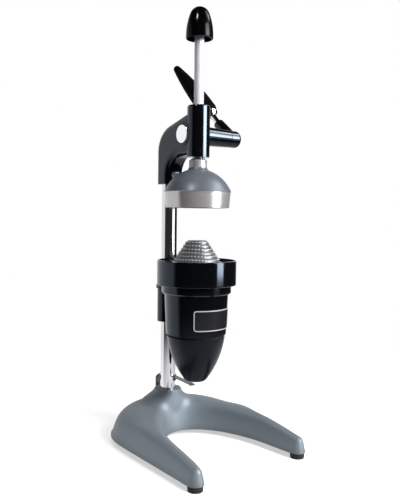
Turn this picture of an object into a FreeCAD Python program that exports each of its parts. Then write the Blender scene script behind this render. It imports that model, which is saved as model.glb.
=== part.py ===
import FreeCAD, Part
import math
import os
import re

import Sketcher

Vector = FreeCAD.Vector
Rotation = FreeCAD.Rotation

# Frame: origin on the table, under the pressing axis; -Y is the front, +Z is up.
# Millimetres and degrees. Each size below is set by itself.
SIZES = {
    # Base casting: a horseshoe, open to the front
    "base_width": 229, "base_leg_width": 29.5, "base_apex_y": 49, "base_leg_y": 108,
    "base_tip_y": 136, "base_tip_width": 26, "base_rear_y": 48, "base_wall": 7, "base_draft": 3,
    "tip_step": 0.1,
    "tip_crown": 34, "bend_crown": 52, "rear_crown": 59, "leg_round": 15, "rear_inner_round": 26,
    "rear_outer_round": 55, "boss_top": 79, "boss_radius": 23, "boss_foot_radius": 22, "boss_floor": 17,
    "flare_lip_drop": 3, "flare_lip_across": 24.5, "flare_lip_front": 23.6, "flare_lip_rear": 25,
    "flare_neck_drop": 12, "flare_neck_across": 33, "flare_neck_front": 24.6, "flare_neck_rear": 33,
    "flare_skirt_drop": 20, "flare_skirt_across": 44.5, "flare_skirt_front": 25.5, "flare_skirt_rear": 39.5,
    "flare_root_drop": 31, "flare_root_across": 50.5, "flare_root_front": 26, "flare_root_rear": 42.5,
    "flare_foot_drop": 45, "flare_foot_across": 52, "flare_foot_front": 26.5, "flare_foot_rear": 44,
    "flare_round": 28,
    # Feet and their screws
    "foot_height": 9, "foot_radius": 11.6, "rear_foot_angle": 59, "rear_foot_inset": 17.4, "foot_recess": 4,
    "foot_screw_diameter": 4, "foot_screw_head": 8, "foot_screw_length": 16, "screw_head_height": 2,
    # Post and its bolt
    "post_diameter": 26.7, "post_wall": 2.4, "post_offset": 80, "post_seat": 22, "post_grip": 66,
    "plug_length": 30, "bolt_diameter": 10, "bolt_head_width": 17, "bolt_head_height": 6,
    "washer_radius": 12, "washer_thickness": 2,
    # Nose, housing, ring and bowl, stacked upwards on the pressing axis
    "nose_bottom": 109.2, "nose_height": 75.8, "nose_radius": 47.6, "nose_wall": 3, "nose_side_round": 150,
    "nose_tip_round": 10.7, "nose_knee_radius": 19.5, "nose_knee_height": 4.3, "outlet_radius": 9,
    "gasket_height": 4, "gasket_inset": 3, "housing_height": 66, "housing_bottom_radius": 49.6,
    "housing_top_radius": 52.4, "housing_wall": 3.5, "ring_height": 14, "ring_radius": 57,
    "bowl_radius": 65, "band_height": 40, "bowl_wall": 2.8, "bowl_floor": 3, "bowl_lip": 1.2,
    "funnel_height": 62, "spout_radius": 14, "spout_length": 22,
    # Strainer
    "strainer_depth": 9, "strainer_wall": 2, "ledge_width": 2.4, "cone_rise": 32, "cone_top_radius": 16,
    "cone_base_radius": 41, "ridge_count": 7, "ridge_depth": 1.1, "drain_slots": 24, "drain_width": 2.4,
    "drain_length": 12,
    # Bracket sleeve on the post
    "sleeve_radius": 19.6, "sleeve_length": 71, "collar_radius": 22, "collar_height": 6, "collar_drop": 7.5,
    "arm_width": 28,
    # Name plate, bare
    "plate_angle": 80, "plate_bottom": 10.5, "plate_height": 33, "plate_thickness": 0.9, "plate_gap": 0.1,
    "plate_play": 0.6, "frame_width": 1.5, "frame_thickness": 1.4,
    # Pressing dome and its collar
    "dome_bottom": 394, "dome_rim_radius": 51.8, "dome_radius": 54, "band_drop": 25, "bead": 0.9,
    "dome_height": 65, "dome_shoulder_radius": 20, "dome_round": 62, "dome_wall": 3.6, "cavity_height": 42,
    "dome_neck_radius": 15, "dome_neck_drop": 5, "dome_neck_round": 6,
    "dome_collar_radius": 14.6, "dome_collar_height": 12.5, "collar_screw_diameter": 5,
    "buffer_thickness": 1.5, "buffer_radius": 11.5,
    "dome_screw_diameter": 8, "dome_screw_head": 14, "dome_screw_head_height": 4,
    "dome_screw_length": 24, "dome_washer_thickness": 1.5, "socket_depth": 10,
    # Ram, rack teeth and cap
    "ram_diameter": 16, "gear_module": 1.5, "pinion_teeth": 20, "rack_teeth": 29, "rack_flat": 6,
    "tooth_backlash": 0.8, "pinion_addendum": 1.2, "ram_top_gap": 27, "cap_bottom": 664.5, "cap_height": 51,
    "cap_radius": 22.1, "cap_crown_edge": 15.4, "cap_crown_drop": 10.5, "cap_belly": 5.5,
    "cap_side_round": 95, "cap_edge_round": 1.2, "cap_mouth": 19.2, "cap_recess": 8,
    # Head casting
    "tube_radius": 18.5, "tube_bottom": 475.5, "tube_height": 83.3, "tube_round": 3, "head_thickness": 36,
    "head_round": 11, "head_back": 17.5, "head_sleeve_bottom": 434.5, "arch_round": 30, "arch_top": 480,
    "arm_slope": 15.5, "crown_round": 45, "crown_low": 489.5,
    "bush_radius": 11, "bush_length": 17, "lip_height": 3,
    # Pinion, its housing and cap
    "pinion_height": 514, "pinion_width": 16, "cavity_depth": 10, "shaft_diameter": 14,
    "journal_diameter": 10, "journal_length": 8, "housing_reach": 76.5, "pinion_housing_radius": 17,
    "pinion_housing_taper": 1.7, "pinion_bush_wall": 3.5, "pinion_bush_length": 16, "pinion_boss": 1,
    "pinion_boss_wall": 3.1, "pinion_cap_lip": 1.5, "pinion_cap_proud": 1, "pinion_cap_thickness": 8,
    "snap_ring": 2, "thrust_washer": 1, "key_width": 4, "key_height": 4,
    # Lever
    "hub_length": 22.5, "hub_radius": 14.5, "hub_round": 7, "hub_end_wall": 5.5, "lever_angle": 47.5,
    "lever_offset": 4, "lever_boss_start": 6, "lever_boss_end": 44, "lever_boss_base": 10.6,
    "lever_boss_tip": 9.2, "rod_diameter": 10.6, "rod_grip": 25, "rod_in_handle": 70,
    "ferrule_start": 67, "ferrule_length": 11.5, "ferrule_base_radius": 6.6, "ferrule_top_radius": 11.8,
    "ferrule_groove": 1.6, "handle_length": 147.5, "handle_radius": 15.6, "handle_neck_radius": 12.8,
    "handle_shoulder": 11, "handle_belly": 28, "handle_tip_radius": 6.5, "handle_tip_height": 4.5,
    "handle_taper_round": 870, "set_screw_diameter": 6,
    # Drip stop, clipped round the post
    "clip_height": 9, "clip_drop": 16.2, "clip_thickness": 1.8, "clip_start": 78, "clip_wrap": 235,
    "tongue_width": 9, "tongue_turn": 6, "tongue_drop": 0.6, "tongue_end_y": 4, "tongue_tip_length": 10,
    "tail_length": 19, "tail_dip": 3.5,
    # Fits
    "running_fit": 0.04, "seat_fit": 0.02, "loose_fit": 0.3, "hole_clearance": 0.1,
}

# Sizes that follow from those above, written as formulas.
FORMULAS = {
    "post_radius": "post_diameter / 2",
    "post_bore": "post_radius + seat_fit",
    "post_top": "head_sleeve_bottom + post_grip",
    "base_inner_half": "base_width / 2 - base_leg_width",
    "post_inner": "post_radius - post_wall",
    "nose_top": "nose_bottom + nose_height",
    "housing_bottom": "nose_top + gasket_height",
    "housing_top": "housing_bottom + housing_height",
    "bracket_top": "housing_top + ring_height",
    "bowl_rim": "bracket_top + band_height",
    "bowl_inner": "bowl_radius - bowl_wall",
    "strainer_seat": "bowl_rim - strainer_depth",
    "strainer_radius": "bowl_inner - loose_fit",
    "cone_top": "bowl_rim + cone_rise",
    "ring_bore": "housing_top_radius - housing_wall",
    "skirt_radius": "ring_bore - 2 * loose_fit",
    "funnel_bottom": "bracket_top - funnel_height",
    "spout_bottom": "funnel_bottom - spout_length",
    "ram_radius": "ram_diameter / 2",
    "pitch_radius": "gear_module * pinion_teeth / 2",
    "rack_pitch_y": "rack_flat - gear_module",
    "pinion_y": "rack_pitch_y + pitch_radius",
    "tooth_pitch": "pi * gear_module",
    "pinion_outer": "pitch_radius + pinion_addendum",
    "pinion_bore": "pinion_outer + loose_fit",
    "shaft_radius": "shaft_diameter / 2",
    "journal_radius": "journal_diameter / 2",
    "head_half": "head_thickness / 2",
    "tube_top": "tube_bottom + tube_height",
    "crown_end_y": "post_offset + head_back - crown_round * (1 - sin(arm_slope * 1 deg))",
    "crown_end_z": "crown_low + crown_round * cos(arm_slope * 1 deg)",
    "dome_top": "dome_bottom + dome_height",
    "cavity_top": "dome_bottom + cavity_height",
    "socket_bottom": "dome_top - socket_depth",
    "collar_top": "dome_top + dome_collar_height",
    "dome_screw_radius": "dome_screw_diameter / 2",
    "cap_top": "cap_bottom + cap_height",
    "ram_top": "cap_top - ram_top_gap",
    "boss_face": "-(head_half + pinion_boss)",
    "cap_face": "boss_face - pinion_cap_proud",
    "cap_back": "boss_face + snap_ring + pinion_cap_thickness",
    "cap_lip_radius": "pinion_bore - pinion_cap_lip",
    "hub_start": "housing_reach + thrust_washer",
    "hub_centre": "hub_start + hub_length / 2",
    "lever_x": "hub_centre - lever_offset",
    "shaft_end": "hub_start + hub_length - hub_end_wall",
    "rod_radius": "rod_diameter / 2",
    "handle_start": "ferrule_start + ferrule_length",
    "clip_bottom": "nose_bottom - clip_drop",
    "clip_inner": "post_radius + running_fit",
    "clip_outer": "clip_inner + clip_thickness",
}

# Heights of the screws that lock the bracket and the head to the post.
BRACKET_SCREWS = ("bracket_top - sleeve_length / 4", "bracket_top - sleeve_length * 3 / 4")
HEAD_SCREWS = ("head_sleeve_bottom + post_grip / 4", "head_sleeve_bottom + post_grip * 3 / 4")

doc = FreeCAD.newDocument("citrus_press")
sheet = doc.addObject("Spreadsheet::Sheet", "Sizes")
for row, (alias, size) in enumerate(SIZES.items(), start=1):
    sheet.set(f"A{row}", alias)
    sheet.set(f"B{row}", str(size))
    sheet.setAlias(f"B{row}", alias)
doc.recompute()

WORD = re.compile(r"[a-z_]+")


def bound(formula):
    """Return a formula with every named size written as a cell of the sheet."""
    def replace(match):
        word = match.group(0)
        if word in FORMULAS:
            return f"({bound(FORMULAS[word])})"
        return f"Sizes.{word}" if word in SIZES else word
    return WORD.sub(replace, str(formula))


def value(formula):
    """Return the number that a formula gives now."""
    return float(sheet.evalExpression(bound(formula)))


def bind(thing, **properties):
    """Bind properties of a document object; two underscores stand for a dot."""
    for name, formula in properties.items():
        thing.setExpression(name.replace("__", "."), bound(formula))


def new_body(label):
    body = doc.addObject("PartDesign::Body", label)
    body.Label = label
    return body


def new_sketch(body, plane, offset=None):
    """Add a sketch on one of the body's own planes, moved along the plane's normal."""
    sketch = body.newObject("Sketcher::SketchObject", f"{body.Name}_sketch")
    support = [item for item in body.Origin.OriginFeatures if item.Role == plane][0]
    sketch.AttachmentSupport = [(support, "")]
    sketch.MapMode = "FlatFace"
    if offset is not None:
        bind(sketch, AttachmentOffset__Base__z=offset)
    return sketch


def constrain(sketch, kind, references, formula):
    """Add one dimension to a sketch and bind it to its formula."""
    index = sketch.addConstraint(Sketcher.Constraint(kind, *references, value(formula)))
    name = f"size{index}"
    sketch.renameConstraint(index, name)
    bind(sketch, **{f"Constraints__{name}": formula})


def pin_point(sketch, geometry, end, across, up):
    """Hold one end of a sketch element at its two coordinates."""
    for formula, kind, axis in ((across, "DistanceX", -2), (up, "DistanceY", -1)):
        if formula == "0":
            sketch.addConstraint(Sketcher.Constraint("PointOnObject", geometry, end, axis))
        else:
            constrain(sketch, kind, (-1, 1, geometry, end), formula)


def arc_between(start, end, radius):
    """Return the short arc between two points; a positive radius turns left."""
    chord = end - start
    half = chord.Length / 2
    height = math.sqrt(max(radius * radius - half * half, 0))
    left = Vector(-chord.y, chord.x, 0).normalize()
    centre = (start + end) * 0.5 + left * math.copysign(height, radius)
    first, last = (start, end) if radius > 0 else (end, start)
    angles = [math.atan2(point.y - centre.y, point.x - centre.x) for point in (first, last)]
    return Part.ArcOfCircle(Part.Circle(centre, Vector(0, 0, 1), abs(radius)), *angles)


def draw_outline(sketch, outline):
    """Draw a closed outline; a corner is (across, up) or (across, up, radius of the arc to it)."""
    corners = [Vector(value(corner[0]), value(corner[1]), 0) for corner in outline]
    starts, ends = [], []
    for index, corner in enumerate(outline):
        start, end = corners[index - 1], corners[index]
        if len(corner) == 2:
            edge = sketch.addGeometry(Part.LineSegment(start, end), False)
            starts.append((edge, 1))
            ends.append((edge, 2))
            continue
        radius = value(corner[2])
        edge = sketch.addGeometry(arc_between(start, end, radius), False)
        starts.append((edge, 1 if radius > 0 else 2))
        ends.append((edge, 2 if radius > 0 else 1))
    for index, corner in enumerate(outline):
        following = starts[(index + 1) % len(outline)]
        sketch.addConstraint(Sketcher.Constraint("Coincident", *ends[index], *following))
        pin_point(sketch, *ends[index], corner[0], corner[1])
        if len(corner) == 3:
            constrain(sketch, "Radius", (ends[index][0],), f"abs({corner[2]})")


def draw_circle(sketch, radius, across="0", up="0"):
    centre = Vector(value(across), value(up), 0)
    circle = sketch.addGeometry(Part.Circle(centre, Vector(0, 0, 1), value(radius)), False)
    pin_point(sketch, circle, 3, across, up)
    constrain(sketch, "Radius", (circle,), radius)


def add_feature(body, kind, sketch, **settings):
    """Add a sketched feature to a body; text settings are formulas, others are set as they are."""
    feature = body.newObject(f"PartDesign::{kind}", f"{body.Name}_{kind.lower()}")
    feature.Profile = sketch
    for name, setting in settings.items():
        if isinstance(setting, str):
            bind(feature, **{name: setting})
        else:
            setattr(feature, name, setting)
    body.Tip = feature
    return feature


def spin(body, outline, kind="Revolution", plane="XZ_Plane", **settings):
    """Turn an outline of (radius, height) corners about the body's upright axis."""
    sketch = new_sketch(body, plane)
    draw_outline(sketch, outline)
    return add_feature(body, kind, sketch, ReferenceAxis=(sketch, ["V_Axis"]), **settings)


def ball(edge, drop):
    """Return the radius of a ball end, from the radius of its edge and its drop."""
    return f"({edge} * {edge} + {drop} * {drop}) / (2 * {drop})"


def turned(label, outline):
    """Make a turned piece on the pressing axis."""
    body = new_body(label)
    spin(body, outline)
    return body


def tube(label, inner, outer, bottom, top):
    """Make a plain ring or bush."""
    return turned(label, [(outer, bottom), (outer, top), (inner, top), (inner, bottom)])


def round_pocket(body, plane, radius, depth, offset=None, across="0", up="0", **settings):
    sketch = new_sketch(body, plane, offset)
    draw_circle(sketch, radius, across, up)
    return add_feature(body, "Pocket", sketch, Length=depth, **settings)


def round_pad(body, plane, radius, length, offset=None, across="0", up="0", **settings):
    sketch = new_sketch(body, plane, offset)
    draw_circle(sketch, radius, across, up)
    return add_feature(body, "Pad", sketch, Length=length, **settings)


def place(piece, across="0", back="0", up="0"):
    bind(piece, Placement__Base__x=across, Placement__Base__y=back, Placement__Base__z=up)
    return piece


def on_post(piece):
    return place(piece, back="post_offset")


def on_shaft(piece):
    """Lay a piece turned about Z along +X, on the pinion's axis."""
    piece.Placement = FreeCAD.Placement(Vector(), Rotation(Vector(0, 1, 0), 90))
    return place(piece, back="pinion_y", up="pinion_height")


def on_lever(piece, angle="lever_angle"):
    """Stand a piece turned about Z along the raised lever, from the pinion's axis."""
    piece.Placement = FreeCAD.Placement(Vector(), Rotation(Vector(-1, 0, 0), value(angle)))
    bind(piece, Placement__Rotation__Angle=angle)
    return place(piece, "lever_x", "pinion_y", "pinion_height")


def combine(label, kind, base, tool):
    result = doc.addObject(f"Part::{kind}", label)
    result.Base, result.Tool = base, tool
    result.Label = label
    return result


def group(label, members):
    compound = doc.addObject("Part::Compound", label)
    compound.Links = members
    compound.Label = label
    return compound


def fixed(label, shape):
    """Make a piece from a finished shape."""
    piece = doc.addObject("Part::Feature", label)
    piece.Label = label
    piece.Shape = shape
    return piece


def upright(radius, bottom, top, across=0, back=0):
    return Part.makeCylinder(radius, top - bottom, Vector(across, back, bottom))


# Base casting


def base_outer(angle):
    """Return the outer edge in the direction of an angle about the bend's centre."""
    half, rear = value("base_width / 2"), value("base_rear_y")
    along = rear * math.sin(angle)
    reach = along + math.sqrt(along * along - rear * rear + half * half)
    if reach * math.sin(angle) < rear:
        reach = half / math.cos(angle)
    return Vector(reach * math.cos(angle), reach * math.sin(angle), 0)


def base_inner(angle):
    """Return the inner edge, half an ellipse, in the direction of an angle."""
    across, centre = value("base_inner_half"), -value("base_leg_y")
    along = value("base_apex_y") - centre
    square = (math.cos(angle) / across) ** 2 + (math.sin(angle) / along) ** 2
    linear = -centre * math.sin(angle) / along ** 2
    rest = (centre / along) ** 2 - 1
    reach = (-linear + math.sqrt(linear * linear - square * rest)) / square
    return Vector(reach * math.cos(angle), reach * math.sin(angle), 0)


def leg_station(back):
    """Return the inner edge, outer edge, crown height and crown rounds across the right leg."""
    across, centre = value("base_inner_half"), -value("base_leg_y")
    along = value("base_apex_y") - centre
    outer = Vector(value("base_width / 2"), back, 0)
    if back < centre:
        outer_to_tip = (centre - back) / (value("base_tip_y") + centre)
        tip_inner = outer.x - value("base_tip_width")
        inner = Vector(across + (tip_inner - across) * outer_to_tip, back, 0)
    else:
        inner = Vector(across * math.sqrt(1 - ((back - centre) / along) ** 2), back, 0)
    fall = (-back / value("base_tip_y")) ** 1.6
    crown = value("bend_crown") + (value("tip_crown") - value("bend_crown")) * fall
    return inner, outer, crown, value("leg_round"), value("leg_round")


def bend_station(angle):
    """Return the same for a section across the rear bend."""
    turn = math.sin(angle) ** 2
    crown = value("bend_crown") + (value("rear_crown") - value("bend_crown")) * turn
    inner_round = value("leg_round") + (value("rear_inner_round") - value("leg_round")) * turn
    outer_round = value("leg_round") + (value("rear_outer_round") - value("leg_round")) * math.sin(angle)
    return base_inner(angle), base_outer(angle), crown, inner_round, outer_round


def crown_poles(width, bottom, crown, inner_round, outer_round):
    """Return the control points of a section's drafted sides and rounded crown."""
    draft, pinch = value("base_draft"), 0.22
    most = 0.95 * (width / 2 - draft)
    inner_round, outer_round = min(inner_round, most), min(outer_round, most)
    left, right = draft + inner_round, width - draft - outer_round
    return [
        (0, bottom), (draft / 2, (bottom + crown - inner_round) / 2), (draft, crown - inner_round),
        (draft + pinch * inner_round, crown - pinch * inner_round), (left, crown),
        ((left + right) / 2, crown), (right, crown),
        (width - draft - pinch * outer_round, crown - pinch * outer_round),
        (width - draft, crown - outer_round),
        (width - draft / 2, (bottom + crown - outer_round) / 2), (width, bottom),
    ]


def smooth(points):
    curve = Part.BSplineCurve()
    curve.buildFromPoles(points, False, 3)
    return curve.toShape()


def base_section(station, bottom, inset, mirrored):
    """Return the control points of one section: drafted sides and a rounded crown."""
    inner, outer, crown, inner_round, outer_round = station
    side = (outer - inner).normalize()
    width = (outer - inner).Length - 2 * inset
    profile = crown_poles(width, bottom, crown - inset, inner_round - inset / 2, outer_round - inset / 2)
    points = [inner + side * (across + inset) + Vector(0, 0, up) for across, up in profile]
    if mirrored:
        points = [Vector(-point.x, point.y, point.z) for point in points]
    return points


def horseshoe(first_back, bottom, inset):
    """Skin the horseshoe from the right leg, round the rear bend, to the left leg."""
    leg_steps, bend_steps = 4, 5
    half = [leg_station(first_back * (1 - step / leg_steps)) for step in range(leg_steps)]
    half += [bend_station(math.pi / 2 * step / bend_steps) for step in range(bend_steps + 1)]
    sections = [base_section(station, bottom, inset, False) for station in half]
    sections += [base_section(station, bottom, inset, True) for station in half[-2::-1]]
    middles = [(section[0] + section[-1]) * 0.5 for section in sections]
    places = [0.0]
    for near, far in zip(middles, middles[1:]):
        places.append(places[-1] + (far - near).Length)
    columns = []
    for column in zip(*sections):
        curve = Part.BSplineCurve()
        curve.interpolate(Points=list(column), Parameters=places)
        columns.append(curve)
    across = smooth(sections[0]).Curve
    skin = Part.BSplineSurface()
    skin.buildFromPolesMultsKnots(
        list(zip(*[curve.getPoles() for curve in columns])),
        columns[0].getMultiplicities(), across.getMultiplicities(),
        columns[0].getKnots(), across.getKnots(), False, False, columns[0].Degree, across.Degree,
    )
    ends = [Part.LineSegment(section[0], section[-1]).toShape() for section in (sections[0], sections[-1])]
    caps = [Part.Face(Part.Wire([smooth(section), line])) for section, line in zip(
        (sections[0], sections[-1]), ends)]
    floor = Part.Wire(Part.sortEdges([columns[0].toShape(), columns[-1].toShape(), *ends])[0])
    faces = [skin.toShape(), Part.Face(floor), *caps]
    shell = Part.makeShell(faces)
    shell.sewShape()
    solid = Part.makeSolid(shell)
    if solid.Volume < 0:
        solid.reverse()
    return solid


def leg_tip(side):
    """Round off the end of a leg about its foot, a hair inside the leg's own end."""
    inner, outer, crown, rounding, _ = leg_station(-value("base_tip_y"))
    hair = value("tip_step")
    bottom, width = value("foot_height"), (outer - inner).Length - 2 * hair
    profile = crown_poles(width, bottom, crown - hair, rounding, rounding)[:6]
    points = [Vector(width / 2 - across, 0, up) for across, up in profile]
    low = Vector(0, 0, bottom)
    edges = [smooth(points), Part.LineSegment(points[-1], low).toShape()]
    edges.append(Part.LineSegment(low, points[0]).toShape())
    rounded = Part.Face(Part.Wire(edges)).revolve(Vector(), Vector(0, 0, 1), 360)
    rounded.translate(Vector(side * (inner.x + outer.x) / 2, inner.y, 0))
    return rounded


def foot_places():
    """Return the name and place of each foot."""
    inner, outer = leg_station(-value("base_tip_y"))[:2]
    front = (inner.x + outer.x) / 2
    edge = base_outer(math.radians(value("rear_foot_angle")))
    rear = edge * (1 - value("rear_foot_inset") / edge.Length)
    return {
        "foot_front_left": (-front, inner.y), "foot_front_right": (front, inner.y),
        "foot_rear_left": (-rear.x, rear.y), "foot_rear_right": (rear.x, rear.y),
    }


def post_flare():
    """Loft the boss that flares from the post into the bend, through oval rings."""
    rings = [flare_ring(value("boss_top"), *[value("boss_radius")] * 3)]
    for name in ("flare_lip", "flare_neck", "flare_skirt", "flare_root", "flare_foot"):
        reaches = [value(f"{name}_{side}") for side in ("across", "front", "rear")]
        rings.append(flare_ring(value(f"boss_top - {name}_drop"), *reaches))
    return Part.makeLoft(rings[::-1], True, False)


def flare_ring(height, across, front, rear):
    """Return an oval round the post from its reaches to the side, the front and the rear."""
    centre = Vector(0, value("post_offset") + (rear - front) / 2, height)
    along = (rear + front) / 2
    curve = Part.BSplineCurve()
    turns = [2 * math.pi * step / 24 for step in range(24)]
    curve.interpolate(Points=[
        centre + Vector(across * math.cos(turn), along * math.sin(turn), 0) for turn in turns
    ], PeriodicFlag=True)
    return Part.Wire(curve.toShape())


def make_base():
    bottom, wall = value("foot_height"), value("base_wall")
    post_y, boss_top = value("post_offset"), value("boss_top")
    shell = horseshoe(-value("base_tip_y"), bottom, 0)
    hollow = horseshoe(-value("base_leg_y"), -wall, wall)
    flared = shell.fuse(post_flare())
    seam = [edge for edge in flared.Edges
            if edge.BoundBox.ZMin > bottom + wall and edge.BoundBox.ZMax < boss_top - wall]
    flared = flared.makeFillet(value("flare_round"), seam)
    body = flared.fuse([leg_tip(-1), leg_tip(1)]).cut(hollow)
    hub_top = value("rear_crown") - wall / 2
    body = body.fuse(upright(value("boss_foot_radius"), value("boss_floor"), hub_top, 0, post_y))
    for across, back in list(foot_places().values())[2:]:
        pad = upright(value("foot_radius"), bottom, hub_top, across, back)
        body = body.fuse(pad.common(shell))
    body = body.cut(upright(value("post_bore"), value("post_seat"), boss_top + wall, 0, post_y))
    body = body.cut(upright(value("bolt_diameter / 2 + hole_clearance"), 0, boss_top, 0, post_y))
    pilot = value("foot_screw_diameter / 2 + seat_fit")
    for across, back in foot_places().values():
        body = body.cut(upright(pilot, 0, bottom + value("foot_screw_length"), across, back))
    return fixed("base_casting", body.removeSplitter())


def make_feet():
    feet, screws = [], []
    for label, (across, back) in foot_places().items():
        hole = "foot_screw_diameter / 2 + hole_clearance"
        foot = turned(label, [
            ("foot_radius - 0.6", "0"), ("foot_radius", "foot_height"), (hole, "foot_height"),
            (hole, "foot_recess"), ("foot_screw_head / 2 + loose_fit", "foot_recess"),
            ("foot_screw_head / 2 + loose_fit", "0"),
        ])
        foot.Placement.Base = Vector(across, back, 0)
        shank, head = "foot_screw_diameter / 2", "foot_screw_head / 2"
        screw = turned(f"screw_of_{label}", [
            ("0", "foot_recess - screw_head_height"), (head, "foot_recess - screw_head_height"),
            (head, "foot_recess"), (shank, "foot_recess"),
            (shank, "foot_recess + foot_screw_length"), ("0", "foot_recess + foot_screw_length"),
        ])
        screw.Placement.Base = Vector(across, back, 0)
        feet.append(foot)
        screws.append(screw)
    return feet + [group("foot_screws", screws)]


# Post and its bolt


def make_post():
    post = on_post(tube("post_tube", "post_inner", "post_radius", "post_seat", "post_top"))
    plug = on_post(tube("post_plug", "bolt_diameter / 2 + seat_fit", "post_inner - seat_fit",
                        "post_seat", "post_seat + plug_length"))
    washer_low = "boss_floor - washer_thickness"
    washer = on_post(tube("post_washer", "bolt_diameter / 2 + hole_clearance", "washer_radius",
                          washer_low, "boss_floor"))
    shank = on_post(turned("post_bolt_shank", [
        ("0", washer_low), ("bolt_diameter / 2", washer_low),
        ("bolt_diameter / 2", "post_seat + plug_length"), ("0", "post_seat + plug_length"),
    ]))
    head = doc.addObject("Part::Prism", "post_bolt_head")
    head.Polygon = 6
    bind(head, Circumradius="bolt_head_width / sqrt(3)", Height="bolt_head_height")
    place(head, back="post_offset", up=f"{washer_low} - bolt_head_height")
    return [post, plug, washer, combine("post_bolt", "Fuse", head, shank)]


# Nose, housing, bowl and strainer


def make_nose():
    shell, lip = "nose_radius - nose_wall", "outlet_radius + nose_wall"
    knee = "nose_bottom + nose_knee_height"
    nose = turned("nose_spout", [
        (lip, "nose_bottom"), ("nose_knee_radius", knee, "nose_tip_round"),
        ("nose_radius", "nose_top", "nose_side_round"), (shell, "nose_top"),
        ("nose_knee_radius - nose_wall", f"{knee} + nose_wall", "-(nose_side_round - nose_wall)"),
        ("outlet_radius", "nose_bottom + 1.2 * nose_wall"), ("outlet_radius", "nose_bottom"),
    ])
    gasket = tube("nose_gasket", f"{shell} - gasket_inset", "nose_radius - gasket_inset",
                  "nose_top", "housing_bottom")
    return [nose, gasket]


def make_bracket():
    bracket = new_body("cup_bracket")
    inner_low = "housing_bottom_radius - housing_wall"
    spin(bracket, [
        (f"{inner_low} - gasket_inset", "housing_bottom"), ("housing_bottom_radius", "housing_bottom"),
        ("housing_top_radius", "housing_top"), ("ring_radius - 1.5", "housing_top"),
        ("ring_radius", "housing_top + 2"), ("ring_radius", "bracket_top"), ("ring_bore", "bracket_top"),
        ("ring_bore", "housing_top"), (inner_low, "housing_bottom + housing_wall"),
        (f"{inner_low} - gasket_inset", "housing_bottom + housing_wall"),
    ])
    low = "bracket_top - sleeve_length"
    arm_front = "sqrt(pow(housing_bottom_radius; 2) - pow(arm_width / 2; 2)) - 1"
    arm = new_sketch(bracket, "XY_Plane", low)
    draw_outline(arm, [("-arm_width / 2", arm_front), ("arm_width / 2", arm_front),
                       ("arm_width / 2", "post_offset"), ("-arm_width / 2", "post_offset")])
    add_feature(bracket, "Pad", arm, Length="sleeve_length")
    round_pad(bracket, "XY_Plane", "sleeve_radius", "sleeve_length", low, up="post_offset")
    round_pad(bracket, "XY_Plane", "collar_radius", "collar_height",
              "bracket_top - collar_drop - collar_height", up="post_offset")
    spin(bracket, [
        ("0", "housing_bottom + housing_wall"), (inner_low, "housing_bottom + housing_wall"),
        ("ring_bore", "housing_top"), ("ring_bore", "bracket_top"), ("0", "bracket_top"),
    ], "Groove")
    round_pocket(bracket, "XY_Plane", "post_bore", "2 * sleeve_length", "bracket_top + 1", up="post_offset")
    for height in BRACKET_SCREWS:
        round_pocket(bracket, "XZ_Plane", "set_screw_diameter / 2 + seat_fit", "2 * collar_radius",
                     "-post_offset", up=height)
    return bracket


def set_screws(label, outer, heights):
    """Make the screws that lock a sleeve to the back of the post."""
    screws = []
    for height in heights:
        screw = doc.addObject("Part::Cylinder", f"{label}_screw")
        screw.Placement = FreeCAD.Placement(Vector(), Rotation(Vector(-1, 0, 0), 90))
        bind(screw, Radius="set_screw_diameter / 2", Height=f"{outer} - post_radius - loose_fit")
        screws.append(place(screw, back="post_offset + post_radius", up=height))
    return group(label, screws)


def make_bowl():
    wall, floor = "bowl_wall", "bracket_top + bowl_floor"
    spout_inner = f"spout_radius - {wall}"
    return turned("juice_bowl", [
        ("skirt_radius", "bracket_top"), ("bowl_radius - bowl_lip", "bracket_top"),
        ("bowl_radius", "bracket_top + bowl_lip", "bowl_lip"), ("bowl_radius", "bowl_rim - bowl_lip"),
        ("bowl_radius - bowl_lip", "bowl_rim", "bowl_lip"), ("bowl_inner", "bowl_rim"),
        ("bowl_inner", "strainer_seat"), ("bowl_inner - ledge_width", "strainer_seat"),
        ("bowl_inner - ledge_width", floor), (f"skirt_radius - {wall}", floor),
        (spout_inner, "funnel_bottom"), (spout_inner, "spout_bottom"), ("spout_radius", "spout_bottom"),
        ("spout_radius", f"funnel_bottom - {wall} / 2"), ("skirt_radius", "bracket_top - 2 * bowl_wall"),
    ])


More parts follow.
